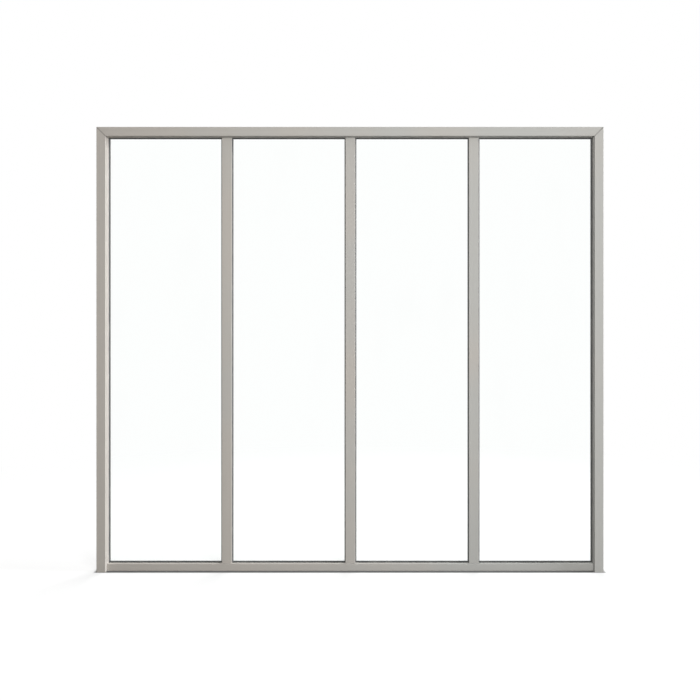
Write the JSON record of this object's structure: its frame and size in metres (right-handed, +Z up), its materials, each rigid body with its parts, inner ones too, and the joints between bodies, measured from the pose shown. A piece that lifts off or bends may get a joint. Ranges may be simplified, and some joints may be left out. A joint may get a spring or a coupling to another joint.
{
  "type": "workshop-style interior window, fixed, with clear panes between slim aluminium mullions",
  "caption": "Fixed workshop-style interior window in warm grey coated aluminium: tall clear panes between slim mullions, mitred top corners, set-back bottom rail.",
  "frame": {"origin": "bottom centre of the outer box, on the underside of the bottom rail", "axes": "+X to the right seen from the front, +Y from the front face to the rear, +Z up"},
  "size_m": [1.23, 0.045, 1.08],
  "materials": {
    "frame_coating": "satin",
    "gasket_rubber": "matte",
    "clear_glass": "polished",
    "block_plastic": "matte"
  },
  "bodies": {
    "root": {"left_stile": "frame_coating", "right_stile": "frame_coating", "top_rail": "frame_coating", "bottom_rail": "frame_coating", "mullion_1": "frame_coating", "mullion_2": "frame_coating", "mullion_3": "frame_coating", "glass_pane_1": "clear_glass", "front_gasket_1": "gasket_rubber", "rear_gasket_1": "gasket_rubber", "bead_left_1": "frame_coating", "bead_right_1": "frame_coating", "bead_top_1": "frame_coating", "bead_bottom_1": "frame_coating", "glass_pane_2": "clear_glass", "front_gasket_2": "gasket_rubber", "rear_gasket_2": "gasket_rubber", "bead_left_2": "frame_coating", "bead_right_2": "frame_coating", "bead_top_2": "frame_coating", "bead_bottom_2": "frame_coating", "glass_pane_3": "clear_glass", "front_gasket_3": "gasket_rubber", "rear_gasket_3": "gasket_rubber", "bead_left_3": "frame_coating", "bead_right_3": "frame_coating", "bead_top_3": "frame_coating", "bead_bottom_3": "frame_coating", "glass_pane_4": "clear_glass", "front_gasket_4": "gasket_rubber", "rear_gasket_4": "gasket_rubber", "bead_left_4": "frame_coating", "bead_right_4": "frame_coating", "bead_top_4": "frame_coating", "bead_bottom_4": "frame_coating", "setting_blocks": "block_plastic"}
  },
  "joints": []
}
